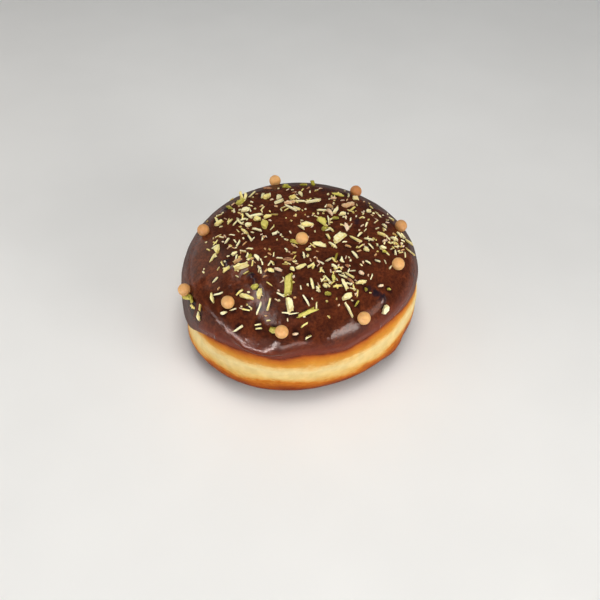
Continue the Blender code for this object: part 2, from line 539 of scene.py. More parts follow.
def chocolate():
    """Soft glossy milk-dark chocolate, with painted shadow beside the nuts and painted shade where it is
    seen edge-on, warmer low down, amber where it ends.
    """
    finish = Finish("chocolate_icing", IOR=1.46, Specular_IOR_Level=0.18)
    cloudy = finish.cloud(8.0 * MM, 3.0, 0.5, distortion=0.6)
    body = finish.ramp(cloudy, painted((0.30, 80, 36, 18), (0.52, 102, 48, 25), (0.72, 120, 58, 32)))
    painted_nut_shadow = finish.number("painted_nut_shadow")
    # Painted shadow: the icing is darkened beside the nuts, as if they shaded it
    shaded = finish.blend(finish.product(painted_nut_shadow, 0.85), body, paint(32, 15, 12))
    spots = finish.spread(finish.cloud(2.2 * MM, 4.0, 0.65), (0.42, 0.64), (0.0, 0.95))
    # The random dark spots are stronger beside the nuts, which adds to the painted shadow there
    spots_by_nuts = finish.spread(painted_nut_shadow, (0.0, 1.0), (0.5, 1.0))
    spotted = finish.blend(finish.product(spots, spots_by_nuts), shaded, paint(34, 15, 13))
    flecks = finish.spread(finish.cloud(0.9 * MM, 3.0, 0.6), (0.38, 0.66), (0.0, 0.60))
    flecked = finish.blend(flecks, spotted, paint(40, 17, 13))
    lumpy = finish.blend(finish.product(finish.number("lump"), 0.9), flecked, paint(28, 23, 32))
    warmed = finish.blend(finish.product(finish.number("low"), 0.55), lumpy, paint(134, 50, 27))
    thin = finish.spread(finish.number("thin"), (0.2, 1.0))
    edged = finish.blend(thin, warmed, paint(150, 62, 30))
    # Painted shade: the colour darkens where the icing is seen edge-on, dimming the sheen along its rims
    edge_on = finish.spread(finish.turned_away(), (0.55, 0.92), (0.0, 0.65))
    finish.colour(finish.blend(edge_on, edged, paint(38, 18, 13)))
    softness = finish.spread(finish.cloud(2.6 * MM, 2.0), (0.25, 0.75), (0.10, 0.18))
    edge_on_softness = finish.spread(finish.turned_away(), (0.55, 0.92), (0.0, 0.45))
    finish.roughness(finish.sum(softness, edge_on_softness))
    finish.relief((finish.cloud(2.0 * MM, 2.0), 0.05 * MM), (finish.cloud(0.6 * MM, 2.0), 0.026 * MM))
    return finish.material


def caramel():
    """Matt caramel with a fine grain, darkened on some of the pearls as painted shade."""
    finish = Finish("caramel_pearl", IOR=1.45, Specular_IOR_Level=0.4)
    finish.glow_inside(0.8 * MM, (1.0, 0.6, 0.35))
    cloudy = finish.cloud(1.4 * MM, 4.0, 0.6)
    body = finish.ramp(cloudy, painted((0.28, 214, 155, 91), (0.5, 228, 175, 108), (0.75, 238, 193, 128)))
    specks = finish.spread(finish.cells(0.55 * MM), (0.08, 0.2), (0.35, 0.0))
    speckled = finish.blend(specks, body, paint(176, 104, 56))
    # Painted shade: the pearls that lie in less light get a darker caramel
    finish.colour(finish.blend(finish.number("painted_shade"), speckled, paint(178, 112, 58)))
    finish.roughness(finish.spread(finish.cloud(0.6 * MM), (0.3, 0.7), (0.42, 0.6)))
    finish.relief((finish.cloud(0.35 * MM, 3.0, 0.6), 0.03 * MM))
    return finish.material


def pistachio(name, cream, leaf, dark_leaf, skin):
    """Chopped kernel: pale where it is cut, greener or browner where its skin is, darker on its other
    sides as painted shade.
    """
    finish = Finish(name, IOR=1.45, Specular_IOR_Level=0.35)
    finish.glow_inside(0.5 * MM, (1.0, 0.9, 0.4))
    grain = finish.spread(finish.cloud(0.9 * MM, 3.0, 0.6), (0.25, 0.75), (-0.30, 0.30))
    shade = finish.sum(finish.number("shade"), grain)
    body = finish.ramp(shade, painted((0.0, *cream), (0.55, *leaf), (1.0, *dark_leaf)))
    # The skin number is the real skin, and on the sides of chopped pieces it is also painted shade
    finish.colour(finish.blend(finish.number("skin"), body, paint(*skin)))
    finish.roughness(finish.spread(finish.cloud(0.5 * MM), (0.3, 0.7), (0.45, 0.65)))
    finish.relief((finish.cloud(0.3 * MM, 3.0, 0.6), 0.04 * MM))
    return finish.material


def pale_floor():
    finish = Finish("pale_floor", Specular_IOR_Level=0.3)
    greys = painted((0.3, 238, 238, 236), (0.7, 241, 241, 239))
    finish.colour(finish.ramp(finish.cloud(60.0 * MM, 2.0), greys))
    finish.roughness(0.55)
    return finish.material


# The icing

# The swollen rim of the icing: azimuth, height of the line that shines on it, how far it stands out
LEDGE = in_metres(
    (-178, 38, 0.10), (-150, 37.6, 0.10), (-133.6, 36.6, 0.10), (-128, 35.5, 0.15),
    (-122.4, 34.1, 0.45), (-117, 32.9, 0.80), (-113.8, 31.6, 1.20), (-108, 30.8, 1.42),
    (-103, 31.2, 1.25), (-98, 31.9, 0.85), (-93, 33, 0.50), (-87, 33.9, 0.36),
    (-77, 34.2, 0.30), (-57, 34.9, 0.25), (-40, 35.2, 0.20), (0, 35, 0.25),
    (45, 35.6, 0.35), (90, 34.6, 0.30), (135, 36, 0.35),
    angles=1,
)
# It swells over this height, starts to turn in this far below the line, and turns in over the lip
LEDGE_RISE = 9.0 * MM
LEDGE_DROP = 1.6 * MM
LEDGE_LIP = 2.6 * MM
LEDGE_PATCHES = 5.0 * MM
LEDGE_PATCHINESS = 0.2
# Lumps, where the icing covers a bit of nut, and dents: x, y, radius, height
ICING_LUMPS = in_metres(
    (-17.4, -20.6, 1.5, 1.3), (-16, -22.6, 1, 0.9), (-26.6, -13.4, 1.5, 1.1),
    (26.4, -24.6, 1.4, 0.7), (28.6, -25.2, 1.3, 0.8), (24.2, -23.4, 1, 0.5),
    (20.6, 8.8, 1.4, 0.6), (-29.4, 17.7, 1.6, 0.6), (-34.4, -17.5, 1.8, 0.35),
    (-29.5, -36, 0.7, 0.3), (28, -31.6, 0.8, 0.35), (10.5, -40, 1, 0.3),
    (-7.6, -42, 0.8, 0.25), (-12, 27, 2.2, 0.4), (-31, 20, 1.8, 0.5),
    (12.4, 21, 1.6, 0.4),
)
ICING_DENTS = in_metres(
    (-22, -24, 5, -0.35), (-8, -25, 5.5, -0.30), (22, -30, 4.2, -0.30),
    (6, -10, 7, -0.20), (24, -8, 6, -0.25), (-14, 4, 7, -0.20),
    (2, 24, 6, -0.20),
)
# Beyond so many radii a lump is too low to count
LUMP_REACH = 3.0
# Faint streaks that follow the outline round the shoulder: length in degrees, then width and height
STREAK_LENGTH = 16.0
STREAK_WIDTH = 1.3 * MM
STREAK_HEIGHT = 0.10 * MM
STREAK_TOP = 36.0 * MM
STREAK_FADE = 5.0 * MM
STREAK_SIDE = -178.0
STREAK_SPREAD = 38.0
# The table's first lumps are nearly black, in a ragged patch that is darkest on a high lump
DARK_LUMPS = 8
LUMP_RAGGEDNESS = 0.8
LUMP_GRAIN = 0.9 * MM
LUMP_FULL_HEIGHT = 0.7 * MM
LUMP_FULL_SHARE = 0.5


def icing_relief(azimuth, point):
    """How far the icing stands out from the even bun at a point."""
    patchy = 1.0 + LEDGE_PATCHINESS * noise.noise(point / LEDGE_PATCHES)
    above_rim = point.z - round_table(LEDGE, azimuth) + LEDGE_DROP
    rising = min(1.0, max(0.0, 1.0 - above_rim / LEDGE_RISE)) ** 2
    turning_in = smooth_step((above_rim - LEDGE_DROP / 2.0) / LEDGE_LIP + 1.0)
    relief = round_table(LEDGE, azimuth, 2) * patchy * rising * turning_in
    for x, y, radius, height in ICING_LUMPS + ICING_DENTS:
        distance = hypot(point.x - x, point.y - y)
        if distance < LUMP_REACH * radius:
            relief += height * hump(distance, radius)
    streak_place = Vector((azimuth / STREAK_LENGTH, point.z / STREAK_WIDTH, 0.0))
    low = 1.0 - smooth_step((point.z - STREAK_TOP) / STREAK_FADE)
    beside = hump(turn_between(azimuth, STREAK_SIDE), STREAK_SPREAD)
    relief += STREAK_HEIGHT * noise.noise(streak_place) * low * beside
    return relief


def lump_share(point):
    """1 in the middle of a lump that is dark all over, falling to 0 around it."""
    ragged = LUMP_RAGGEDNESS * noise.noise(point / LUMP_GRAIN)
    share = 0.0
    for x, y, radius, height in ICING_LUMPS[:DARK_LUMPS]:
        away = hypot(point.x - x, point.y - y) / radius + ragged
        darkness = min(1.0, height / LUMP_FULL_HEIGHT)
        share = max(share, darkness * (1.0 - smooth_step(away - LUMP_FULL_SHARE)))
    return share


def make_icing():
    edge_climbs = {}

    def edge_climb(azimuth):
        key = round(azimuth, 2)
        if key not in edge_climbs:
            edge_climbs[key] = icing_edge_climb(azimuth)
        return edge_climbs[key]

    shares = [(ring / ICING_RINGS) ** ICING_RING_CROWDING for ring in range(ICING_RINGS + 1)]
    outline = [blank_point(share) for share in reversed(shares)]
    lip_shares = [ring / ICING_LIP_RINGS for ring in range(1, ICING_LIP_RINGS + 1)]
    outline += [blank_point(0.0, mix(1.0, BLANK_BED, share)) for share in lip_shares]
    outline += [blank_point(ring / ICING_BED_RINGS, BLANK_BED) for ring in range(1, ICING_BED_RINGS + 1)]
    icing = turned("chocolate_icing_visual", outline, ICING_STEPS)

    def settle(azimuth, share, size):
        climb = mix(edge_climb(azimuth), 1.0, max(0.0, share))
        surface = outer_point(azimuth, climb)
        lip = smooth_step((surface.z - icing_edge_height(azimuth)) / ICING_LIP)
        thinness = icing_edge_share(surface, azimuth, ICING_FEATHER)
        drop = ICING_EDGE_DROP * thinness + ICING_EDGE_DROP * (1.0 - lip)
        depth = (1.0 - size) / (1.0 - BLANK_BED)
        proud = icing_relief(azimuth, surface) * lip * (1.0 - depth)
        return surface - outward(azimuth, climb) * (mix(drop, ICING_BED, depth) - proud)

    shape_by_hand(icing, settle)
    roughen(icing, ICING_CLOUDS)
    number_per_point(icing, "thin", lambda point: icing_edge_share(point, azimuth_of(point), ICING_THIN))
    number_per_point(icing, "low", lambda point: icing_edge_share(point, azimuth_of(point), ICING_WARM))
    number_per_point(icing, "lump", lump_share)
    icing.data.materials.append(chocolate())
    hand_over(icing, ["chocolate_icing"])
    return icing


# The dough

# Shallow creases round the pale belt: azimuth, half width in degrees, height, depth
CREASES = in_metres(
    (-86, 9, 18.6, 0.36), (-70, 7, 16.9, 0.30), (-104, 8, 20.2, 0.28),
    (-55, 6, 20.6, 0.28), (-128, 7, 17.4, 0.30), (-20, 9, 19, 0.32),
    (10, 10, 18, 0.32), (48, 9, 19.4, 0.30), (85, 10, 17.6, 0.36),
    (125, 9, 18.8, 0.30), (162, 8, 16.8, 0.32),
    angles=2,
)
CREASE_HALF_HEIGHT = 0.45 * MM
# Bulges and hollows of the crust: azimuth, half width in degrees, height, half height, rise
CRUST_SWELLS = in_metres(
    (-33, 6, 9, 5, 0.7), (-22, 5, 13, 4.5, -0.6), (-150, 9, 11, 5, 0.3),
    (70, 10, 10, 5, 0.4), (140, 8, 12, 5, -0.4),
    angles=2,
)
# The fried underside is a little hollow inside a ring, and is all that lies below its top
BASE_HOLLOW = 0.7 * MM
BASE_RING = 30.0 * MM
BASE_TOP = 1.0 * MM


def crust_drop(point, azimuth):
    """How far the crust lies inside the full bun, which the icing fills up."""
    below_edge = icing_edge_height(azimuth) - point.z
    shelf = CRUST_DROP_AT_EDGE * smooth_step(1.0 - below_edge / CRUST_SHELF)
    tuck = (CRUST_DROP_UNDER_ICING - CRUST_DROP_AT_EDGE) * smooth_step(-below_edge / CRUST_TUCK)
    return shelf + tuck


def crust_relief(azimuth, point):
    relief = 0.0
    for middle, half_width, height, depth in CREASES:
        beside = hump(turn_between(azimuth, middle), half_width)
        relief -= depth * beside * hump(point.z - height, CREASE_HALF_HEIGHT)
    for middle, half_width, height, half_height, rise in CRUST_SWELLS:
        beside = hump(turn_between(azimuth, middle), half_width)
        relief += rise * beside * hump(point.z - height, half_height)
    return relief


def belt_at(point):
    """Where a point is in the crust's belts, from 0 on the underside to 1 at the icing's edge."""
    azimuth = azimuth_of(point)
    foot = round_table(BELT_FOOT, azimuth)
    top = round_table(BELT_TOP, azimuth)
    if point.z < foot:
        return point.z / foot / BELTS
    if point.z < top:
        return (1.0 + (point.z - foot) / (top - foot)) / BELTS
    edge = max(top + LEAST_TOP_BELT, icing_edge_height(azimuth))
    return min(1.0, (2.0 + (point.z - top) / (edge - top)) / BELTS)


def make_dough():
    climbs = [-1.0 + ring / CRUST_FOOT_RINGS for ring in range(CRUST_FOOT_RINGS)]
    climbs += [CRUST_SIDE_CLIMB * ring / CRUST_SIDE_RINGS for ring in range(CRUST_SIDE_RINGS)]
    climbs += [mix(CRUST_SIDE_CLIMB, 1.0, ring / CRUST_TOP_RINGS) for ring in range(CRUST_TOP_RINGS + 1)]
    dough = turned("dough_visual", [blank_point(climb) for climb in climbs], CRUST_STEPS)

    def settle(azimuth, climb, size):
        surface = outer_point(azimuth, climb)
        inside = crust_drop(surface, azimuth) - crust_relief(azimuth, surface)
        point = surface - outward(azimuth, climb) * inside
        point.z = max(0.0, point.z)
        return point

    shape_by_hand(dough, settle)
    roughen(dough, CRUST_CLOUDS)
    for vertex in dough.data.vertices:
        reach = hypot(vertex.co.x - BUN_AXIS.x, vertex.co.y - BUN_AXIS.y)
        hollow = BASE_HOLLOW * (1.0 - smooth_step(reach / BASE_RING)) if vertex.co.z < BASE_TOP else 0.0
        vertex.co.z = max(0.0, vertex.co.z) + hollow
    number_per_point(dough, "belt", belt_at)
    dough.data.materials.append(fried_crust())
    hand_over(dough, ["dough"])


# The pearls

PEARLS = 10
PEARL_SUBDIVISIONS = 5
# A few pores in each pearl: where they are, how deep and how wide
PEARL_PORES = ((0.9, -0.2, 0.4), (-0.5, 0.8, 0.3), (0.1, -0.4, -0.9))
PEARL_PORE_DEPTH = 0.12 * MM
PEARL_PORE_WIDTH = 0.45 * MM
# How far each pearl's caramel is darkened as painted shade, from the first pearl to the last
PEARL_PAINTED_SHADE = (0.15, 0.0, 0.10, 0.55, 0.90, 0.18, 0.55, 0.26, 0.20, 0.05)
PEARL_CHANCE = 41


def make_pearls():
    """One pearl is shaped at the origin, and each place gets a turned copy of it."""
    low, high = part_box("caramel_pearl_1")
    radius = (high.x - low.x) / 2.0
    deselect_everything()
    bpy.ops.mesh.primitive_ico_sphere_add(subdivisions=PEARL_SUBDIVISIONS, radius=radius)
    first = named("pearl_pattern")
    roughen(first, PEARL_CLOUDS)
    for pore in PEARL_PORES:
        middle = Vector(pore).normalized() * radius
        for vertex in first.data.vertices:
            sink = PEARL_PORE_DEPTH * hump((vertex.co - middle).length, PEARL_PORE_WIDTH)
            vertex.co -= vertex.co.normalized() * sink
    finish = caramel()
    chance = Random(PEARL_CHANCE)
    for number in range(1, PEARLS + 1):
        node = f"caramel_pearl_{number}"
        low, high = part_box(node)
        angle = chance.uniform(0.0, 2.0 * pi)
        spin = Matrix.Rotation(angle, 4, Vector([chance.uniform(-1.0, 1.0) for _ in "xyz"]))
        pearl = copy_of(first, f"{node}_visual", Matrix.Translation((low + high) / 2.0) @ spin)
        pearl.data.materials.append(finish)
        painted_shade = PEARL_PAINTED_SHADE[number - 1]
        number_per_point(pearl, "painted_shade", lambda _: painted_shade)
        hand_over(pearl, [node])
    bpy.data.objects.remove(first)


# The chopped pistachios

# The patterns that are chopped from a block: slices along each edge, unevenness, random seed and bend
CHOPPED = {
    "slab_a": (4, 0.06, 5, 0.0),
    "slab_b": (4, 0.06, 5, 0.0),
    "chip_a": (1, 0.13, 3, 0.0),
    "chip_b": (1, 0.13, 3, 0.0),
    "chip_c": (1, 0.13, 3, 0.0),
    "chip_d": (1, 0.13, 3, 0.0),
    "sliver_a": (1, 0.09, 1, 0.25),
    "sliver_b": (1, 0.10, 2, -0.4),
    "sliver_c": (1, 0.09, 4, 0.6),
    "sliver_d": (1, 0.11, 6, 0.0),
}
# The knife's cuts through each pattern: a place on its plane and the direction of what is cut away
KNIFE_CUTS = {
    "slab_a": (
        ((-0.47, 0, 0), (-1, 0.06, 0.1)), ((0.45, 0, 0), (1, 0.12, 0.2)),
        ((-0.36, 0.36, 0), (-0.6, 1, 0)), ((0, -0.44, 0), (0.05, -1, 0.3)),
    ),
    "slab_b": (
        ((-0.44, 0, 0), (-1, -0.25, 0.1)), ((0.44, 0.1, 0), (1, 0.22, 0)),
        ((0.2, 0.42, 0.2), (0.1, 1, 0.4)), ((-0.3, -0.42, 0), (-0.2, -1, 0.2)),
    ),
    "chip_a": (
        ((-0.4, 0.2, 0), (-1, 0.7, 0.1)), ((0.35, -0.2, 0), (1, -0.5, 0.2)),
        ((0, 0, 0.36), (0.3, 0.15, 1)),
    ),
    "chip_b": (
        ((0.25, 0.3, 0), (0.8, 1, 0.2)), ((-0.42, 0, 0), (-1, -0.2, 0.3)),
        ((0.3, -0.4, 0), (0.5, -1, 0)), ((0, 0, 0.4), (-0.25, 0.2, 1)),
    ),
    "chip_c": (
        ((0.1, 0.34, 0), (0.45, 1, 0.3)), ((-0.2, 0.3, 0), (-0.9, 0.8, 0.1)),
        ((0, -0.42, 0), (0.1, -1, 0.25)),
    ),
    "chip_d": (
        ((-0.3, -0.3, 0), (-0.8, -1, 0.2)), ((0.42, 0.1, 0), (1, 0.3, 0.3)),
        ((0.1, 0, 0.38), (0.2, -0.3, 1)), ((-0.4, 0.4, 0), (-1, 0.5, 0)),
    ),
    "sliver_a": (
        ((-0.45, 0, 0), (-1, 0.15, 0.2)), ((0.45, 0, 0), (1, 0.25, 0.1)),
        ((0.3, 0.4, 0), (0.22, 1, 0.2)),
    ),
    "sliver_b": (
        ((-0.45, 0, 0), (-1, -0.2, 0.1)), ((0.46, 0, 0), (1, 0.05, 0.3)),
        ((-0.3, -0.36, 0), (-0.3, -1, 0.1)), ((0, 0, 0.36), (0, 0.4, 1)),
    ),
    "sliver_c": (
        ((-0.46, 0, 0), (-1, 0.1, 0)), ((0.4, 0, 0), (1, -0.3, 0.2)),
    ),
    "sliver_d": (
        ((0.44, 0, 0), (1, 0.12, 0.2)), ((-0.2, 0.36, 0), (-0.4, 1, 0)),
        ((0, -0.4, 0.3), (0.1, -0.8, 1)),
    ),
    "kernel_a": (
        ((0, 0, -0.1), (0, 0, -1)), ((0.5, 0, 0), (1, 0.3, 0)),
        ((-0.45, 0, 0), (-1, 0.4, 0.2)), ((0, 0.5, 0), (0.2, 1, 0.1)),
    ),
    "kernel_b": (
        ((0, 0, -0.2), (0.1, 0, -1)), ((0, -0.4, 0), (0.3, -1, 0)),
        ((0.3, 0.3, 0), (1, 0.8, 0)), ((0, 0, 0.5), (0.3, 0.1, 1)),
    ),
}
KERNEL_SEGMENTS = 10
KERNEL_RINGS = 7
# Points that the knife leaves closer together than this become one
KERNEL_WELD = 0.04
CHOPPED_WELD = 0.06
# A kernel's faces have skin this far from its middle, and a chopped piece's where they face sideways
SKIN_DISTANCE = 0.9
SKIN_SIDE = 0.75
# How much darker a chopped piece is on its sides, as painted shade, as a share of the way to its skin's
# colour
SIDE_PAINTED_SHADE = 0.42
SIDE_TILT = 0.6
BEND_MIDDLE = 0.1


def cut_with_knife(name, slices=0):
    """The primitive in hand gets its name and its cuts, and stays open for editing."""
    piece = named(name)
    bpy.ops.object.mode_set(mode="EDIT")
    bpy.ops.mesh.select_all(action="SELECT")
    if slices:
        bpy.ops.mesh.subdivide(number_cuts=slices)
    for place, direction in KNIFE_CUTS[name]:
        bpy.ops.mesh.select_all(action="SELECT")
        bpy.ops.mesh.bisect(plane_co=place, plane_no=direction, use_fill=True, clear_outer=True)
    bpy.ops.mesh.select_all(action="SELECT")
    return piece


def fit_to_unit_box(piece):
    """The piece fills a box of 1 by 1 by 1 about the origin, so that a copy takes its own size."""
    corners = [Vector(corner) for corner in piece.bound_box]
    low = Vector([min(corner[axis] for corner in corners) for axis in range(3)])
    high = Vector([max(corner[axis] for corner in corners) for axis in range(3)])
    growth = [1.0 / (high[axis] - low[axis]) for axis in range(3)]
    select_only(piece)
    bpy.ops.object.mode_set(mode="EDIT")
    bpy.ops.mesh.select_all(action="SELECT")
    bpy.ops.transform.translate(value=-(low + high) / 2.0)
    bpy.ops.transform.resize(value=growth, center_override=(0.0, 0.0, 0.0))
    bpy.ops.object.mode_set(mode="OBJECT")


def cut_kernel(name):
    """A chip of kernel: a rounded kernel with flat cuts."""
    deselect_everything()
    bpy.ops.mesh.primitive_uv_sphere_add(segments=KERNEL_SEGMENTS, ring_count=KERNEL_RINGS, radius=1.0)
    kernel = cut_with_knife(name)
    bpy.ops.mesh.remove_doubles(threshold=KERNEL_WELD)
    bpy.ops.mesh.normals_make_consistent(inside=False)
    bpy.ops.object.mode_set(mode="OBJECT")
    number_per_face(kernel, "skin", lambda face: float(face.center.length > SKIN_DISTANCE))
    fit_to_unit_box(kernel)
    return kernel


def chopped(name):
    """A chopped piece of kernel: a block with its corners cut off and its faces a little uneven."""
    slices, unevenness, seed, bend = CHOPPED[name]
    deselect_everything()
    bpy.ops.mesh.primitive_cube_add(size=1.0)
    piece = cut_with_knife(name, slices)
    bpy.ops.mesh.remove_doubles(threshold=CHOPPED_WELD)
    bpy.ops.mesh.quads_convert_to_tris()
    bpy.ops.mesh.normals_make_consistent(inside=False)
    bpy.ops.object.mode_set(mode="OBJECT")
    chance = Random(seed)
    for vertex in piece.data.vertices:
        vertex.co += Vector([chance.uniform(-unevenness, unevenness) for _ in "xyz"])
        vertex.co.y += bend * (vertex.co.x**2 - BEND_MIDDLE)

    # Skin faces get 1, and faces that turn sideways get part of the skin's colour as painted shade
    def skin(face):
        if face.normal.y > SKIN_SIDE:
            return 1.0
        return SIDE_PAINTED_SHADE if face.normal.z < SIDE_TILT else 0.0

    number_per_face(piece, "skin", skin)
    fit_to_unit_box(piece)
    return piece


# Larger pieces at their places: x, y in mm, turn in degrees, length and width in mm, and a shade from
# 0, as pale as a cut side, to 1, as dark as the kind gets
PALE_CHIPS = (
    (-21.5, 15.3, -9, 2.8, 3.2, 0.15), (-31.0, 9.1, 40, 3.1, 2.6, 0.40),
    (-32.2, 11.7, -72, 4.6, 1.2, 0.30), (-16.6, 9.2, -3, 2.6, 2.8, 0.45),
    (-13.1, 10.6, 44, 2.9, 2.2, 0.45), (-19.8, 6.1, 18, 2.0, 2.8, 0.20),
    (-20.9, 2.5, -50, 3.3, 1.8, 0.35), (-13.6, 23.4, 34, 2.6, 3.2, 0.45),
    (-8.9, 23.0, 35, 2.5, 3.0, 0.15), (-3.9, 22.9, 36, 2.6, 2.6, 0.50),
    (-0.6, 25.5, -67, 3.6, 1.8, 0.25), (20.6, 25.1, 23, 2.1, 2.6, 0.20),
    (25.4, 16.5, 18, 1.8, 2.4, 0.15), (13.0, 15.0, 72, 3.8, 1.7, 0.15),
    (15.4, 12.7, 5, 2.5, 2.2, 0.25), (10.2, 8.5, -86, 4.2, 1.3, 0.05),
    (1.8, 6.0, 25, 4.4, 3.1, 0.35), (13.9, -0.9, 49, 6.6, 3.7, 0.25),
    (6.4, -4.7, -12, 5.0, 2.7, 0.25), (30.1, 3.0, -15, 3.4, 2.0, 0.45),
    (29.6, -4.2, 31, 2.2, 2.0, 0.15), (23.6, -6.2, -30, 2.2, 2.2, 0.35),
    (-30.6, -5.9, -80, 4.6, 2.4, 0.40), (-24.2, -9.3, 55, 2.1, 1.9, 0.20),
    (-21.3, -15.7, 18, 5.0, 3.3, 0.35), (-26.4, -16.5, 36, 2.9, 1.7, 0.45),
    (-15.8, -11.6, -48, 3.1, 1.8, 0.10), (-30.7, -26.9, -76, 3.8, 1.3, 0.40),
    (-18.4, -28.9, -20, 5.0, 2.2, 0.45), (-14.2, -28.0, 68, 3.6, 2.5, 0.40),
    (-10.7, -18.1, -1, 2.4, 1.9, 0.35), (-3.0, -17.4, -18, 1.8, 2.0, 0.25),
    (0.2, -16.1, 36, 3.7, 2.0, 0.35), (2.6, -7.4, 1, 1.8, 1.8, 0.40),
    (3.9, -23.9, -85, 4.5, 1.3, 0.25), (6.1, -26.3, -66, 2.1, 1.6, 0.05),
    (-3.7, -32.4, -81, 5.3, 2.8, 0.20), (15.2, -23.4, -62, 4.6, 1.7, 0.20),
    (12.7, -24.3, 14, 3.2, 1.5, 0.50), (8.4, -24.7, -49, 1.9, 1.7, 0.30),
    (16.0, -28.1, 15, 3.5, 2.9, 0.25), (21.2, -21.7, 10, 3.9, 1.9, 0.35),
    (29.6, -27.9, -86, 3.3, 3.0, 0.10), (16.7, -32.1, -56, 5.4, 1.4, 0.20),
    (-35.8, -28.8, -119, 3.2, 1.5, 0.25), (-26.3, -32.8, 18, 2.6, 1.4, 0.10),
    (-38.3, -24.8, -76, 2.4, 1.4, 0.60), (2.7, -41.1, 46, 2.2, 1.2, 0.15),
    (-10.1, -14.5, -63, 2.0, 1.2, 0.10),
)
GREEN_CHIPS = (
    (-24.0, 21.8, 59, 4.2, 4.0, 0.60), (-27.9, 18.6, -66, 3.6, 1.9, 0.75),
    (-13.8, 6.2, 69, 4.0, 3.7, 0.45), (-6.0, 31.6, -21, 4.0, 2.6, 0.75),
    (-2.5, -3.5, -28, 3.6, 2.1, 0.60), (13.9, 26.1, -18, 5.0, 1.9, 0.55),
    (12.7, 10.1, 3, 2.4, 1.7, 0.80), (7.6, 8.1, -34, 4.3, 3.6, 0.50),
    (8.5, 3.9, 66, 2.3, 2.3, 0.85), (0.6, 33.8, 5, 2.7, 1.4, 0.80),
    (-18.3, -11.0, 43, 1.8, 1.8, 0.90), (-15.7, -25.2, 41, 2.3, 2.6, 0.80),
    (-39.4, -21.6, -52, 4.6, 1.3, 0.75), (-4.3, -24.5, -89, 9.6, 3.6, 0.45),
    (2.3, -35.0, 31, 7.4, 2.0, 0.60), (12.4, -11.3, 77, 5.0, 1.2, 0.50),
    (11.4, -21.0, -73, 2.5, 1.7, 0.40), (9.4, -27.8, -8, 2.1, 1.9, 0.85),
    (22.8, -24.1, -77, 1.7, 1.4, 0.75), (31.0, -21.5, 23, 1.4, 1.2, 0.75),
    (19.3, -29.7, -109, 2.6, 0.9, 0.85), (-9.0, -40.0, -3, 2.9, 2.8, 0.75),
    (30.1, -5.9, 16, 1.6, 1.4, 0.70),
)
SKINNED_CHIPS = (
    (-5.0, 19.5, 21, 3.9, 2.3, 0.30), (-13.7, 31.0, -22, 3.6, 1.6, 0.95),
    (12.2, 22.7, -19, 1.9, 2.2, 0.30), (17.7, 18.9, 39, 5.2, 2.6, 0.35),
    (10.8, 17.4, -23, 3.1, 2.4, 0.70), (10.7, 13.6, -63, 4.2, 1.9, 0.20),
    (16.7, 5.1, -68, 3.8, 2.1, 0.10), (21.3, -17.9, -25, 1.9, 1.8, 0.15),
    (-22.9, -12.7, 35, 3.2, 2.3, 0.50), (-7.9, -17.6, -24, 2.6, 1.8, 0.05),
    (-4.5, -12.7, -19, 3.2, 2.2, 0.85), (17.3, -21.7, -54, 2.6, 1.5, 0.90),
    (28.1, -21.4, 4, 1.9, 1.3, 0.20), (-1.5, -40.8, 27, 1.9, 1.1, 0.30),
    (-13.7, -0.6, 46, 1.9, 1.4, 0.40), (16.4, -15.1, -43, 2.1, 1.4, 0.40),
    (16.9, -5.3, -27, 2.2, 1.0, 0.55), (30.6, -0.2, 33, 2.2, 1.4, 0.15),
)
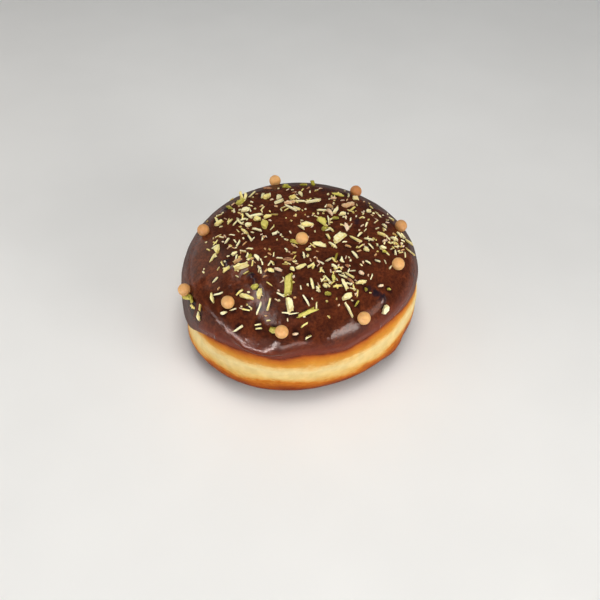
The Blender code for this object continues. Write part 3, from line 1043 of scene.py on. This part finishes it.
SLIVERS = (
    (-27.0, 8.9, 58, 3.4, 0.9, 0.40), (-24.8, 7.9, 65, 3.3, 0.8, 0.20),
    (-23.1, 7.9, -52, 3.6, 0.8, 0.20), (-21.9, 9.6, 24, 2.7, 1.0, 0.10),
    (-19.9, 11.3, -53, 3.6, 1.0, 0.20), (-17.1, 11.7, 12, 4.8, 1.2, 0.15),
    (-16.3, 3.4, -18, 4.2, 1.2, 0.15), (-19.0, -1.2, -60, 3.5, 1.0, 0.20),
    (-15.4, 24.8, 85, 4.6, 1.1, 0.20), (-8.8, 19.9, 29, 4.1, 1.5, 0.10),
    (-4.3, 16.0, -34, 5.6, 1.3, 0.05), (-2.0, 15.7, -28, 2.9, 1.4, 0.25),
    (-0.4, 20.5, -10, 3.8, 1.1, 0.20), (-9.7, 1.1, 32, 2.6, 1.3, 0.10),
    (-27.2, -2.1, 70, 2.9, 1.1, 0.05), (-22.9, -4.0, 68, 3.5, 0.8, 0.15),
    (4.3, 20.3, 15, 6.0, 1.1, 0.05), (7.9, 14.7, 3, 4.2, 1.2, 0.15),
    (0.0, 4.6, -45, 3.4, 1.0, 0.15), (10.9, 3.7, -50, 3.1, 1.2, 0.35),
    (9.9, -0.5, -62, 3.2, 1.3, 0.45), (11.5, -4.8, -46, 3.8, 1.0, 0.15),
    (19.8, -1.4, -39, 4.8, 1.0, 0.40), (21.4, 1.5, 57, 3.0, 0.9, 0.20),
    (24.8, -0.7, -9, 3.7, 1.0, 0.15), (19.2, 16.4, 56, 3.8, 1.0, 0.60),
    (25.4, -4.1, -53, 3.2, 0.8, 0.20), (31.3, 8.8, -42, 2.4, 1.3, 0.10),
    (34.5, 2.4, -8, 3.2, 1.3, 0.10), (36.8, 6.1, -44, 3.0, 1.2, 0.15),
    (38.0, 6.2, -57, 2.4, 1.2, 0.15), (34.3, -4.9, -82, 2.3, 1.0, 0.10),
    (19.3, -9.2, -59, 3.5, 1.1, 0.05), (23.9, -12.3, -32, 2.4, 1.0, 0.00),
    (27.4, -11.1, -5, 1.9, 0.9, 0.00), (-31.8, -9.9, 62, 3.7, 1.3, 0.30),
    (-28.0, -13.9, -67, 2.4, 0.8, 0.40), (-19.2, -10.5, 73, 2.5, 0.9, 0.20),
    (-30.1, -20.2, 52, 2.5, 0.9, 0.15), (-28.6, -26.0, 6, 3.3, 0.8, 0.00),
    (-21.2, -26.7, 40, 2.9, 0.9, 0.50), (-14.8, -16.6, -42, 1.8, 1.0, 0.00),
    (3.5, -15.6, 39, 3.4, 1.1, 0.40), (4.4, -16.0, 70, 2.5, 0.9, 0.45),
    (1.0, -10.3, -82, 2.8, 0.8, 0.00), (-6.7, -28.6, -33, 3.2, 0.8, 0.10),
    (-10.7, -32.2, -102, 4.6, 0.9, 0.35), (-14.1, -33.4, 68, 4.8, 0.8, 0.05),
    (-18.4, -33.4, -14, 3.1, 0.8, 0.45), (2.0, -30.8, -60, 4.4, 0.8, 0.00),
    (-4.7, -35.2, -7, 3.0, 0.6, 0.05), (-2.3, -35.4, 12, 3.6, 0.6, 0.05),
    (9.9, -12.4, 49, 3.0, 0.9, 0.15), (14.4, -12.1, 69, 2.4, 0.9, 0.15),
    (12.0, -15.7, -46, 2.7, 1.0, 0.00), (13.2, -18.0, 4, 2.4, 0.9, 0.00),
    (14.6, -19.9, -21, 3.2, 0.9, 0.15), (17.0, -19.4, -27, 3.4, 1.1, 0.35),
    (7.4, -17.8, -60, 2.4, 0.6, 0.30), (9.1, -21.6, -51, 3.0, 0.9, 0.30),
    (-21.2, -38.1, 40, 4.0, 1.0, 0.05), (-14.3, -38.1, 11, 2.1, 0.7, 0.30),
    (-14.0, -39.1, 9, 2.1, 0.7, 0.30), (-23.1, -32.6, 18, 2.3, 0.6, 0.10),
)
# Pieces with their far end up: as above, and then how far it is up in degrees
STANDING_SLIVERS = (
    (-23.6, 26.0, 104, 3.6, 1.2, 0.55, 44), (-22.0, 24.4, 76, 4.2, 1.0, 0.35, 24),
    (-19.6, 25.6, 20, 3.4, 0.9, 0.20, 30), (40.2, 4.4, -48, 3.6, 1.0, 0.30, 24),
    (40.0, -1.0, -35, 4.6, 0.8, 0.35, 20), (-35.0, -27.6, -110, 2.8, 0.8, 0.40, 25),
)
STANDING_GREENS = (
    (4.4, 34.8, 118, 2.6, 1.5, 0.95, 36), (-40.6, -20.4, 178, 4.2, 1.1, 0.60, 24),
    (-38.6, -22.6, -60, 3.6, 1.2, 0.70, 20),
)
# Where small bits lie thickest: x, y and spread in mm, and how many
BIT_DRIFTS = (
    (-24.0, 16.0, 5.0, 9), (-12.0, 25.0, 6.0, 8), (0.0, 19.0, 7.0, 12), (14.0, 20.0, 6.0, 14),
    (26.0, 15.0, 5.0, 12), (35.0, 1.0, 4.0, 22), (28.0, -4.0, 4.5, 12), (10.0, 6.0, 7.0, 12),
    (-18.0, 6.0, 6.0, 14), (-28.0, 2.0, 5.0, 10), (-24.0, -11.0, 5.0, 12), (-13.0, -13.0, 4.0, 8),
    (0.0, -13.0, 6.0, 12), (13.0, -17.0, 5.0, 14), (10.0, -26.0, 5.0, 9), (-17.0, -34.0, 4.5, 9),
    (-3.0, -35.0, 5.0, 6), (18.0, -26.0, 5.0, 6), (0.0, 2.0, 20.0, 46),
)
# A piece's thickness shows too, so it is a little shorter and narrower than it looks from above
LENGTH_SEEN = 0.95
WIDTH_SEEN = 0.74
# Large pieces are slabs from this length and width in mm
SLAB_LENGTH = 5.0
SLAB_WIDTH = 2.0
# Least and most thickness in mm, its share of the width, and how much it is left to chance
CHIP_THICKNESS = (0.8, 1.5, 0.45)
SLIVER_THICKNESS = (0.45, 0.8, 0.6)
THICKNESS_CHANCE = (0.8, 1.2)
# A standing piece has its low end in the icing, and its middle this share of its length up the lean
STANDING_SHARE = 0.4
# Small bits by kind: share of each drift's number, then the ranges of length, width and thickness in mm
BITS = {
    "slivers": (0.65, (1.2, 2.8), (0.35, 0.65), (0.3, 0.6)),
    "crumbs": (0.8, (0.5, 1.2), (0.4, 0.9), (0.3, 0.6)),
    "skin_crumbs": (0.5, (0.7, 1.8), (0.3, 0.7), (0.3, 0.5)),
}
# Bits are sunk in by this share of their thickness, lean along and across by so many degrees, and
# most of them are pale
BIT_SINK = 0.25
BIT_LEANS = (14.0, 10.0)
BIT_PALENESS = 1.6
BIT_DARKEST = 0.7
EDGE_OF_BITS = 39.0 * MM
PEARL_CLEARANCE = 3.0 * MM
NUT_CHANCE = 7
# The icing has painted shadow beside the nuts: how far from a nut's middle, and then how softly it fades
NUT_REACH = 0.7 * MM
NUT_SHADE = 1.2 * MM
# Colours of a cut side, of two depths of green or brown, and of the skin
NUT_COLOURS = {
    "pistachio_flesh": ((255, 248, 204), (244, 226, 136), (182, 160, 58), (172, 142, 62)),
    "pistachio_green": ((240, 228, 142), (212, 200, 96), (146, 140, 36), (140, 128, 36)),
    "pistachio_skin": ((250, 226, 196), (218, 172, 112), (142, 92, 70), (164, 108, 66)),
}


def nut_patterns():
    """The patterns of the pieces by kind: slabs, chips, slivers and rounded kernels."""
    made = {name: chopped(name) if name in CHOPPED else cut_kernel(name) for name in KNIFE_CUTS}
    kinds = ("slab", "chip", "sliver", "kernel")
    return [[made[name] for name in made if name.startswith(kind)] for kind in kinds]


def lying_on(surface, x, y, turn, size, sink, tilt):
    """Where a unit piece goes so that it lies on a surface, with part of its thickness sunk in.

    Turn and tilt are in degrees. Size is length, width and thickness. Sink is a share of the thickness.
    """
    hit, normal, _, _ = surface.ray_cast(Vector((x, y, 2.0 * FULL_HEIGHT)), -UP)
    if hit is None:
        return None
    along = Vector((cos(radians(turn)), sin(radians(turn)), 0.0))
    along = (along - normal * along.dot(normal)).normalized()
    beside = normal.cross(along)
    axes = Matrix((along, beside, normal)).transposed().to_4x4()
    lean = Matrix.Rotation(radians(tilt[0]), 4, "X") @ Matrix.Rotation(radians(tilt[1]), 4, "Y")
    middle = hit + normal * size[2] * (0.5 - sink)
    return Matrix.Translation(middle) @ axes @ lean @ Matrix.Diagonal((*size, 1.0))


def mark_nuts_on(icing):
    """The icing is told how near each point is to a nut, for the painted shadow there: 1 beside it,
    falling to 0 away from it.
    """
    rows = PALE_CHIPS + GREEN_CHIPS + SKINNED_CHIPS + SLIVERS
    places = KDTree(len(rows))
    for index, (x, y, *_) in enumerate(rows):
        places.insert((x * MM, y * MM, 0.0), index)
    places.balance()

    def nearness(point):
        distance = places.find((point.x, point.y, 0.0))[2]
        return 1.0 - smooth_step((distance - NUT_REACH) / NUT_SHADE)

    number_per_point(icing, "painted_nut_shadow", nearness)


def join_copies(name, copies, finish):
    """Copies of the patterns, each given as pattern, placement and shade, become one piece."""
    objects = []
    for pattern, placement, shade in copies:
        copy = copy_of(pattern, name, placement)
        number_per_point(copy, "shade", lambda _: shade)
        objects.append(copy)
    select_only(objects[0])
    for copy in objects:
        copy.select_set(True)
    bpy.ops.object.join()
    piece = named(name)
    piece.data.materials.append(finish)
    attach(piece, "root")
    return piece


def scatter_pistachios(icing):
    mark_nuts_on(icing)
    slabs, chips, slivers, kernels = nut_patterns()
    surface = BVHTree.FromObject(icing, bpy.context.evaluated_depsgraph_get())
    chance = Random(NUT_CHANCE)
    pearls = [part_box(f"caramel_pearl_{number}") for number in range(1, PEARLS + 1)]
    pearl_middles = [(low + high) / 2.0 for low, high in pearls]

    def thickness_for(width, thickness):
        least, most, share = thickness
        return min(most * MM, max(least * MM, share * width)) * chance.uniform(*THICKNESS_CHANCE)

    def placed(rows, patterns, thickness, sink, lean):
        copies = []
        for x, y, turn, length, width, shade in rows:
            deep = thickness_for(width * MM, thickness)
            tilt = (chance.gauss(0.0, lean), chance.gauss(0.0, lean * 0.5))
            size = (length * LENGTH_SEEN * MM, width * WIDTH_SEEN * MM, deep)
            placement = lying_on(surface, x * MM, y * MM, turn, size, sink, tilt)
            if placement:
                large = length > SLAB_LENGTH and width > SLAB_WIDTH
                copies.append((chance.choice(slabs if large else patterns), placement, shade))
        return copies

    def standing(rows):
        copies = []
        for x, y, turn, length, width, shade, lean in rows:
            size = (length * MM, width * MM, thickness_for(width * MM, SLIVER_THICKNESS))
            sink = 0.5 - STANDING_SHARE * length * MM * sin(radians(lean)) / size[2]
            placement = lying_on(surface, x * MM, y * MM, turn, size, sink, (0.0, -lean))
            copies.append((chance.choice(slivers), placement, shade))
        return copies

    def bits(kind, patterns):
        count_share, *ranges = BITS[kind]
        copies = []
        for x, y, spread, count in BIT_DRIFTS:
            for _ in range(round(count * count_share)):
                here = Vector((chance.gauss(x, spread) * MM, chance.gauss(y, spread) * MM))
                near_pearl = any((middle.xy - here).length <= PEARL_CLEARANCE for middle in pearl_middles)
                if near_pearl or (here - BUN_AXIS.xy).length > EDGE_OF_BITS:
                    continue
                size = [chance.uniform(*ends) * MM for ends in ranges]
                tilt = [chance.gauss(0.0, lean) for lean in BIT_LEANS]
                turn = chance.uniform(0.0, 360.0)
                placement = lying_on(surface, here.x, here.y, turn, size, BIT_SINK, tilt)
                if placement:
                    pattern = chance.choice(patterns)
                    shade = chance.random() ** BIT_PALENESS * BIT_DARKEST
                    copies.append((pattern, placement, shade))
        return copies

    flesh, green, skin = [pistachio(name, *colours) for name, colours in NUT_COLOURS.items()]
    pale_copies = placed(PALE_CHIPS, chips, CHIP_THICKNESS, sink=0.2, lean=8.0)
    join_copies("pistachio_chips", pale_copies, flesh)
    green_copies = placed(GREEN_CHIPS, chips + kernels, CHIP_THICKNESS, sink=0.2, lean=8.0)
    green_copies += standing(STANDING_GREENS)
    join_copies("pistachio_green_chips", green_copies, green)
    skinned_copies = placed(SKINNED_CHIPS, chips + kernels, CHIP_THICKNESS, sink=0.25, lean=7.0)
    join_copies("pistachio_skinned_chips", skinned_copies, skin)
    sliver_copies = placed(SLIVERS, slivers, SLIVER_THICKNESS, sink=0.15, lean=9.0)
    sliver_copies += standing(STANDING_SLIVERS)
    sliver_copies += bits("slivers", slivers)
    join_copies("pistachio_slivers", sliver_copies, flesh)
    join_copies("pistachio_crumbs", bits("crumbs", chips), flesh)
    join_copies("pistachio_skin_crumbs", bits("skin_crumbs", slivers + chips), skin)
    for pattern in slabs + chips + slivers + kernels:
        bpy.data.objects.remove(pattern)


# Floor, light and camera

FLOOR_SIZE = 3.0
CAMERA_AIM = Vector((-0.100 * MM, -11.057 * MM, 22.0 * MM))
CAMERA_DISTANCE = 295.82 * MM
CAMERA_HEADING = -0.28
CAMERA_DOWN = 47.18
CAMERA_ROLL = 1.194
CAMERA_LENS = 46.86
CAMERA_SENSOR = 36.0
WORLD_COLOUR = (0.86, 0.93, 1.0, 1.0)
WORLD_STRENGTH = 0.12
DAYLIGHT = (1.0, 0.98, 0.95)
# Azimuth, elevation, distance, width, height, power in watts and colour. The first lights light the
# surfaces and aren't mirrored in them. The second are only seen as the gloss mirrors them.
LIGHTS = {
    "high_front_light": (-85.0, 60.0, 0.6, 0.24, 0.24, 0.80, DAYLIGHT),
    "ceiling_light": (-90.0, 84.0, 0.6, 0.24, 0.24, 1.55, DAYLIGHT),
    "front_left_fill": (-158.0, 12.0, 0.8, 0.50, 0.20, 2.35, DAYLIGHT),
    "window_right": (-36.0, 17.0, 0.8, 0.38, 0.30, 3.5, (1.0, 0.96, 0.93)),
}
MIRRORED_LIGHTS = {
    "window_right_pane": (-46.0, 8.5, 0.8, 0.30, 0.26, 5.2, (1.0, 0.90, 0.84)),
    "window_right_far_pane": (-27.0, 20.0, 0.8, 0.30, 0.22, 1.3, (1.0, 0.80, 0.70)),
    "ceiling_tube": (180.0, 75.0, 1.05, 1.50, 0.14, 8.6, DAYLIGHT),
    "front_strip": (-111.0, 4.2, 0.8, 0.46, 0.05, 6.2, (1.0, 0.86, 0.82)),
    "front_right_strip": (-85.0, 4.2, 0.8, 0.26, 0.07, 1.2, (1.0, 0.78, 0.72)),
    "front_left_strip": (-141.0, 4.5, 0.8, 0.38, 0.08, 2.8, (1.0, 0.84, 0.80)),
    "left_strip": (-163.0, 11.0, 0.8, 0.22, 0.08, 0.5, (1.0, 0.84, 0.80)),
    "back_left_pane": (142.0, 5.0, 0.8, 0.60, 0.14, 0.4, (1.0, 0.93, 0.90)),
    "back_left_window": (142.0, 31.0, 0.8, 0.50, 0.60, 1.3, (1.0, 0.80, 0.66)),
}


def add_floor():
    deselect_everything()
    bpy.ops.mesh.primitive_plane_add(size=FLOOR_SIZE)
    floor = named("floor")
    floor.data.materials.append(pale_floor())


def direction_of(azimuth, elevation):
    flat = cos(radians(elevation))
    return Vector((flat * cos(radians(azimuth)), flat * sin(radians(azimuth)), sin(radians(elevation))))


def add_lights(table, mirrored):
    """Rectangular lights around the bun, which face its middle."""
    middle = Vector((0.0, 0.0, WAIST_HEIGHT))
    for name, (azimuth, elevation, distance, width, height, power, colour) in table.items():
        towards = direction_of(azimuth, elevation)
        deselect_everything()
        bpy.ops.object.light_add(type="AREA", location=middle + towards * distance)
        light = bpy.context.object
        light.name = name
        light.rotation_euler = towards.to_track_quat("Z", "Y").to_matrix().to_euler()
        light.visible_glossy = mirrored
        light.visible_diffuse = not mirrored
        light.data.shape = "RECTANGLE"
        light.data.size = width
        light.data.size_y = height
        light.data.energy = power
        light.data.color = colour


def add_surroundings():
    world = bpy.data.worlds.new("soft_surroundings")
    world.use_nodes = True
    background = world.node_tree.nodes["Background"]
    background.inputs["Color"].default_value = WORLD_COLOUR
    background.inputs["Strength"].default_value = WORLD_STRENGTH
    bpy.context.scene.world = world


def add_camera():
    back = direction_of(CAMERA_HEADING - 90.0, CAMERA_DOWN)
    deselect_everything()
    bpy.ops.object.camera_add(location=CAMERA_AIM + back * CAMERA_DISTANCE)
    camera = bpy.context.object
    level = back.to_track_quat("Z", "Y")
    rolled = Matrix.Rotation(radians(CAMERA_ROLL), 4, "Z")
    camera.rotation_euler = (level.to_matrix().to_4x4() @ rolled).to_euler()
    camera.data.lens = CAMERA_LENS
    camera.data.sensor_width = CAMERA_SENSOR
    bpy.context.scene.camera = camera
    bpy.context.scene.view_settings.view_transform = "Standard"


add_camera()
add_floor()
add_lights(LIGHTS, mirrored=False)
add_lights(MIRRORED_LIGHTS, mirrored=True)
add_surroundings()
icing = make_icing()
make_dough()
make_pearls()
scatter_pistachios(icing)
